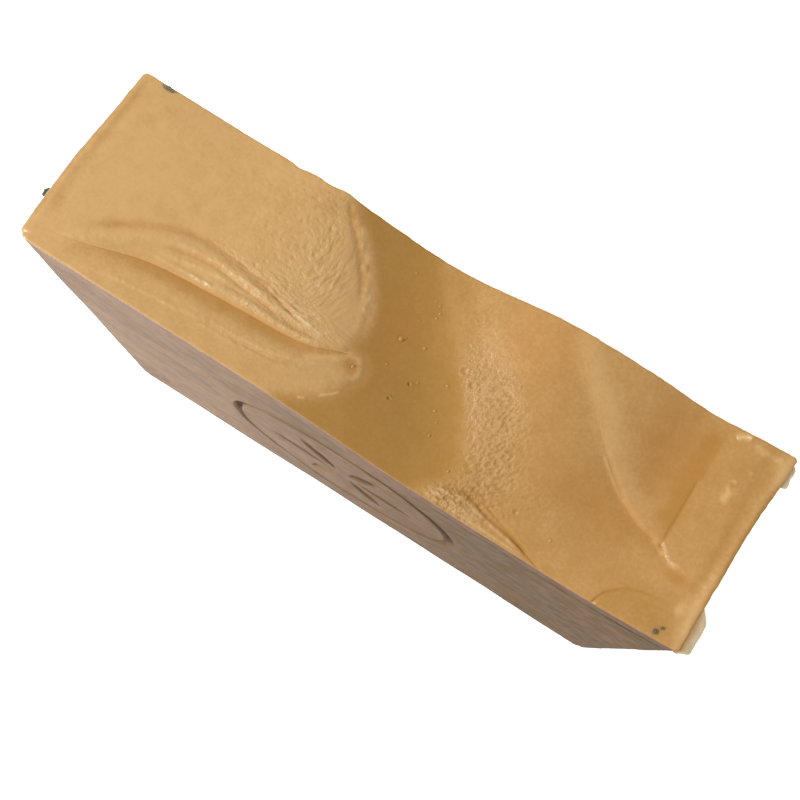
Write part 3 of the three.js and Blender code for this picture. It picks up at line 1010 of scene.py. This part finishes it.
def flash_mesh(name, seed):
    """A thin lip along the right end, level with its top: thick at the bar, with an uneven edge."""
    low, high = (np.array(corner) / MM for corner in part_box(name))
    low[1], high[1] = low[1] - 0.6, high[1] + 0.2
    a, o = (g.ravel() for g in np.meshgrid(*[np.linspace(0, 1, n) for n in FLASH_GRID], indexing="ij"))
    swell = 0.3 + 0.7 * ease(a / 0.12) * ease((1 - a) / 0.35)
    reach = (high[0] - low[0] + 1.1) * (0.9 + 0.06 * crumple(a * 3, a * 0, seed)) * swell
    x = low[0] - ROOT_DEPTH + reach * o
    y = low[1] + (high[1] - low[1]) * a
    top = soft_top(END, y) - 0.25 - 0.2 * o**2 + 0.05 * crumple(a * 7, o * 2, seed + 9)
    upper = np.column_stack([x, y, top])
    lower = np.column_stack([x, y, top - (0.75 - 0.6 * o) * swell])
    sheet = grid_faces(*FLASH_GRID)
    corner = np.arange(a.size).reshape(FLASH_GRID)
    edge = np.concatenate([corner[:-1, 0], corner[-1, :-1], corner[:0:-1, -1], corner[0, :0:-1]])
    after = np.roll(edge, -1)
    wall = np.stack([edge, after, after + a.size, edge + a.size], 1)
    faces = [*sheet, *(sheet[:, ::-1] + a.size), *wall[:, ::-1]]
    return new_mesh(name, np.vstack([upper, lower]), faces, outer=np.tile(o, 2))


FLECK_SHIFTS = {
    "end_fleck": (-1.2, 0, 0.9),
    "back_fleck": (0.3, 0.2, -0.35),
    "large_front_fleck": (0.3, 0, -0.1),
    "small_front_fleck": (0.3, 0, -0.05),
}


def fleck_mesh(name, seed, shift):
    """A crumb of dry clay beside its node's place, where the worn surface is."""
    low, high = (np.array(corner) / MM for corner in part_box(name))
    ball = bmesh.new()
    bmesh.ops.create_icosphere(ball, subdivisions=CRUMB_DETAIL, radius=1)
    unit = np.array([vertex.co for vertex in ball.verts])
    faces = [[vertex.index for vertex in face.verts] for face in ball.faces]
    ball.free()
    x, y, z = unit.T
    lumps = 0.35 * crumple(x * 1.6 + z, y * 1.6 - z, seed) + 0.1 * crumple(x * 5 + y, z * 5, seed + 4)
    crumb = unit * (high - low) / 2 * (0.85 + lumps)[:, None]
    return new_mesh(name, (low + high) / 2 + shift + crumb, faces)


# ---- Materials ----


class Shader:
    """A material's nodes, added one at a time. Texture sizes are given in millimetres."""

    def __init__(self, name, **surface):
        self.material = bpy.data.materials.new(name)
        self.material.use_nodes = True
        self.tree = self.material.node_tree
        self.surface = self.tree.nodes["Principled BSDF"]
        self.place = self.add("ShaderNodeTexCoord").outputs["Object"]
        self.set(**surface)

    def set(self, **inputs):
        for label, value in inputs.items():
            self.connect(value, self.surface.inputs[label.replace("_", " ")])

    def connect(self, value, socket):
        if isinstance(value, bpy.types.NodeSocket):
            self.tree.links.new(value, socket)
        else:
            socket.default_value = value

    def add(self, kind, inputs=None, **settings):
        made = self.tree.nodes.new(kind)
        for label, value in settings.items():
            setattr(made, label, value)
        for label, value in (inputs or {}).items():
            self.connect(value, made.inputs[label])
        return made

    def math(self, operation, a, b, clamp=False):
        return self.add("ShaderNodeMath", {0: a, 1: b}, operation=operation, use_clamp=clamp).outputs[0]

    def attribute(self, label):
        return self.add("ShaderNodeAttribute", attribute_name=label).outputs["Fac"]

    def clouds(self, size, detail=3, roughness=0.5, distortion=0.0, stretch=(1, 1, 1)):
        """Soft noise around 0.5 with features of a size, drawn out along the axes by stretch."""
        mapped = self.add("ShaderNodeMapping", {"Vector": self.place, "Scale": [1 / s for s in stretch]})
        inputs = {
            "Vector": mapped.outputs[0],
            "Scale": 1 / (size * MM),
            "Detail": detail,
            "Roughness": roughness,
            "Distortion": distortion,
        }
        return self.add("ShaderNodeTexNoise", inputs).outputs["Fac"]

    def spots(self, size):
        """Distance to scattered points about a size apart, as a share of it."""
        inputs = {"Vector": self.place, "Scale": 1 / (size * MM)}
        return self.add("ShaderNodeTexVoronoi", inputs).outputs["Distance"]

    def ramp(self, value, low, high, start=0.0, end=1.0):
        """start at low and below, end at high and above, and a smooth change between."""
        inputs = {"Value": value, "From Min": low, "From Max": high, "To Min": start, "To Max": end}
        return self.add("ShaderNodeMapRange", inputs, interpolation_type="SMOOTHSTEP").outputs["Result"]

    def mottle(self, size, reach, detail=3):
        """Soft noise from -reach to reach."""
        return self.ramp(self.clouds(size, detail), 0.3, 0.7, -reach, reach)

    def mix(self, share, a, b):
        mixed = self.add("ShaderNodeMix", data_type="RGBA")
        for socket, value in ((0, share), (6, a), (7, b)):
            self.connect(value, mixed.inputs[socket])
        return mixed.outputs[2]

    def bump(self, height, depth, under=None):
        """Bump of a depth in millimetres at height 1."""
        inputs = {"Height": height, "Distance": depth * MM, "Strength": 1.0}
        if under is not None:
            inputs["Normal"] = under
        return self.add("ShaderNodeBump", inputs).outputs["Normal"]


def paint(red, green, blue):
    """A colour as seen on a screen, from 0 to 255, as the shader's linear values."""
    return (*[(c / 255) ** 2.2 for c in (red, green, blue)], 1)


def poured_soap():
    """The skin of the spooned folds: pale and satin on the slab, dark and glossy where it ran smooth."""
    # The pale slab and the dark smooth soap come partly from painted sheen in the tone.
    shader = Shader("poured soap", Coat_Weight=0.4, Coat_Roughness=0.24, Specular_IOR_Level=0.1)
    tone, glow, crinkle = (shader.attribute(label) for label in ("tone", "glow", "crinkle"))
    mottled = shader.math("ADD", tone, shader.mottle(2.4, 0.14, 4))
    mottled = shader.math("ADD", mottled, shader.mottle(0.45, 0.16))
    shades = shader.add("ShaderNodeValToRGB", {"Fac": shader.ramp(mottled, -1.4, 1.4)})
    shades.color_ramp.elements.new(0.5)
    colours = (paint(141, 103, 45), paint(156, 117, 67), paint(173, 137, 88))
    for stop, colour in zip(shades.color_ramp.elements, colours):
        stop.color = colour
    # Painted glow: orange mixed in where the glow is high.
    orange_share = shader.math("MULTIPLY", glow, 0.6, clamp=True)
    orange = shader.mix(orange_share, shades.outputs["Color"], paint(160, 98, 30))
    # Whitish where the tone is highest: fraying soap and painted glints.
    frayed_and_glints = shader.mix(shader.ramp(mottled, 1.2, 2.4, 0, 0.8), orange, paint(206, 184, 150))
    soft = shader.bump(shader.clouds(0.8, 3), 0.014)
    creased = shader.bump(shader.math("MULTIPLY", shader.clouds(0.24, 4, 0.65), crinkle), 0.09, soft)
    crisp = shader.bump(shader.clouds(0.14, 3, 0.6), 0.012, creased)
    gloss = shader.ramp(mottled, -0.9, 0.9, 0.34, 0.5)
    shader.set(Base_Color=frayed_and_glints, Normal=creased, Coat_Normal=crisp, Roughness=gloss)
    return shader.material


def cut_soap():
    """Soap drawn through by the cutter: pale to brown from left to right, clouds, a band and streaks."""
    shader = Shader("cut soap", Specular_IOR_Level=0.08)
    along = shader.add("ShaderNodeSeparateXYZ", {0: shader.place}).outputs["X"]
    under = shader.attribute("under")
    # Painted fall-off of the light: 0 at the left end, rising to 1 towards the right.
    painted_falloff = shader.ramp(along, -END * MM, 0.8 * END * MM)

    # Clay clouds; their change from pale at the left to brown at the right is painted fall-off of the
    # light from the left.
    swirl = shader.ramp(shader.clouds(11, 5, 0.6, 1.2, (1.6, 1, 1)), 0.35, 0.65)
    pale = shader.mix(swirl, paint(121, 100, 82), paint(134, 111, 90))
    brown = shader.mix(swirl, paint(83, 66, 43), paint(95, 70, 43))
    cloudy = shader.mix(painted_falloff, pale, brown)
    drifts = shader.ramp(shader.clouds(6, 4, 0.6, 0.8), 0.5, 0.75, 0, 0.4)
    warm = shader.mix(drifts, cloudy, paint(104, 76, 51))

    # The mauve band of the spooned layer, and the folds' own colour along its upper edge; both get darker
    # towards the right as painted fall-off of the light.
    wander = shader.math("ADD", under, shader.mottle(6, 0.8))
    mauve = shader.mix(painted_falloff, paint(131, 107, 96), paint(100, 70, 53))
    band = shader.mix(shader.ramp(wander, 4.6, 2, 0, 0.7), warm, mauve)
    skin = shader.mix(painted_falloff, paint(170, 134, 100), paint(142, 108, 72))
    rimmed = shader.mix(shader.ramp(under, 0.8, 0.3, 0, 0.85), band, skin)

    # Dark streaks along the seam towards the right end, partly dark marks on the soap and partly painted
    # shadow of the open seam, and brown in the pressed marks, a stain with painted shade in the recess.
    off_seam = shader.math("ABSOLUTE", shader.math("SUBTRACT", wander, 4.3), 0)
    torn = shader.ramp(shader.clouds(3.5, 4, 0.6, 0, (2, 1, 1)), 0.48, 0.6)
    streaks = shader.math("MULTIPLY", shader.ramp(off_seam, 1.1, 0.2), torn)
    streaks = shader.math("MULTIPLY", streaks, shader.ramp(along, 12 * MM, 34 * MM, 0, 0.85))
    streaked = shader.mix(streaks, rimmed, paint(62, 38, 26))
    pressed_brown_and_shade = shader.math("MULTIPLY", shader.attribute("stained"), 0.9, clamp=True)
    stained = shader.mix(pressed_brown_and_shade, streaked, paint(62, 34, 14))

    pits = shader.ramp(shader.spots(1.9), 0.05, 0.09, -1, 0)
    drags = shader.bump(shader.clouds(0.5, 3, 0.6, 0.0, (9, 1, 1)), 0.03)
    rough = shader.bump(shader.math("ADD", pits, shader.clouds(1.2, 4)), 0.05, drags)
    gloss = shader.ramp(shader.clouds(2, 3), 0.3, 0.7, 0.6, 0.75)
    shader.set(Base_Color=stained, Roughness=gloss, Normal=rough)
    return shader.material


def thin_soap():
    """Flash: the folds' colour where it leaves the bar, whitish and half clear where it is thin."""
    shader = Shader("thin soap", Roughness=0.35)
    shader.set(Subsurface_Weight=0.2, Subsurface_Radius=(1.0, 0.9, 0.7), Subsurface_Scale=0.5 * MM)
    milky = shader.mix(shader.clouds(0.9, 4), paint(186, 170, 142), paint(166, 146, 114))
    whitish = shader.mix(shader.ramp(shader.attribute("outer"), 0.35, 0.8), paint(156, 120, 72), milky)
    shader.set(Base_Color=whitish, Normal=shader.bump(shader.clouds(0.3, 3), 0.03))
    return shader.material


def dry_clay():
    shader = Shader("dry clay", Roughness=0.9)
    grey = shader.mix(shader.clouds(0.25, 4), paint(70, 64, 54), paint(122, 114, 98))
    shader.set(Base_Color=grey, Normal=shader.bump(shader.clouds(0.12, 4, 0.7), 0.05))
    return shader.material


def backdrop():
    shader = Shader("backdrop", Roughness=0.9)
    white = shader.mix(shader.clouds(40, 2), paint(250, 250, 250), paint(253, 253, 253))
    shader.set(Base_Color=white, Emission_Color=(1, 1, 1, 1), Emission_Strength=0.4)
    return shader.material


# ---- The studio ----

CAMERA_PLACE = Vector((17.33, -28.48, 175.43))
CAMERA_AIM = Vector((3.44, -4.85, 60))
PICTURE_UP = 32.31  # the way up the picture, in degrees from +Y towards -X
CAMERA_LENS = 45.45
FLOOR_WIDTH = 3.0


def place_camera():
    camera = bpy.data.objects.new("camera", bpy.data.cameras.new("camera"))
    camera.data.lens = CAMERA_LENS
    camera.data.clip_start = 0.01
    back = (CAMERA_PLACE - CAMERA_AIM).normalized()
    up_hint = Vector((-math.sin(math.radians(PICTURE_UP)), math.cos(math.radians(PICTURE_UP)), 0))
    right = up_hint.cross(back).normalized()
    turn = Matrix((right, back.cross(right), back)).transposed()
    camera.matrix_world = Matrix.Translation(CAMERA_PLACE * MM) @ turn.to_4x4()
    bpy.context.scene.collection.objects.link(camera)
    bpy.context.scene.camera = camera


def soft_light(name, direction, distance, width, power):
    """A square soft light at a distance from the bar's top, turned towards it."""
    light = bpy.data.lights.new(name, "AREA")
    light.size = width
    light.energy = power
    lamp = bpy.data.objects.new(name, light)
    aim = Vector((0, 0, 0.06))
    lamp.location = aim + Vector(direction).normalized() * distance
    lamp.rotation_euler = Vector(direction).to_track_quat("Z", "Y").to_euler()
    bpy.context.scene.collection.objects.link(lamp)


def light_studio():
    soft_light("key", direction=(-0.75, -0.4, 0.6), distance=0.5, width=0.15, power=2.75)
    world = bpy.data.worlds.new("studio")
    world.use_nodes = True
    background = world.node_tree.nodes["Background"].inputs
    background["Color"].default_value = (1, 1, 1, 1)
    background["Strength"].default_value = 0.85
    bpy.context.scene.world = world
    bpy.context.scene.view_settings.view_transform = "Standard"


def lay_floor():
    half = FLOOR_WIDTH / 2 / MM
    corners = np.array([(-half, -half, 0), (half, -half, 0), (half, half, 0), (-half, half, 0)])
    floor = bpy.data.objects.new("floor", new_mesh("floor", corners, [(0, 1, 2, 3)]))
    floor.data.materials.append(backdrop())
    bpy.context.scene.collection.objects.link(floor)


# ---- The whole scene ----


def build_bar():
    skin, cut = poured_soap(), cut_soap()
    add_piece("bar_body", block_mesh(), "cut_soap", cut)
    for name in OUTLINES:
        add_piece(name, fold_mesh(name), "poured_soap", skin, cut)
    thin, clay = thin_soap(), dry_clay()
    for seed, name in enumerate(["upper_flash", "lower_flash"], 101):
        add_piece(name, flash_mesh(name, seed), "thin_soap", thin)
    for seed, (name, shift) in enumerate(FLECK_SHIFTS.items(), 121):
        add_piece(name, fleck_mesh(name, seed, shift), "dry_clay", clay)


build_bar()
lay_floor()
place_camera()
light_studio()
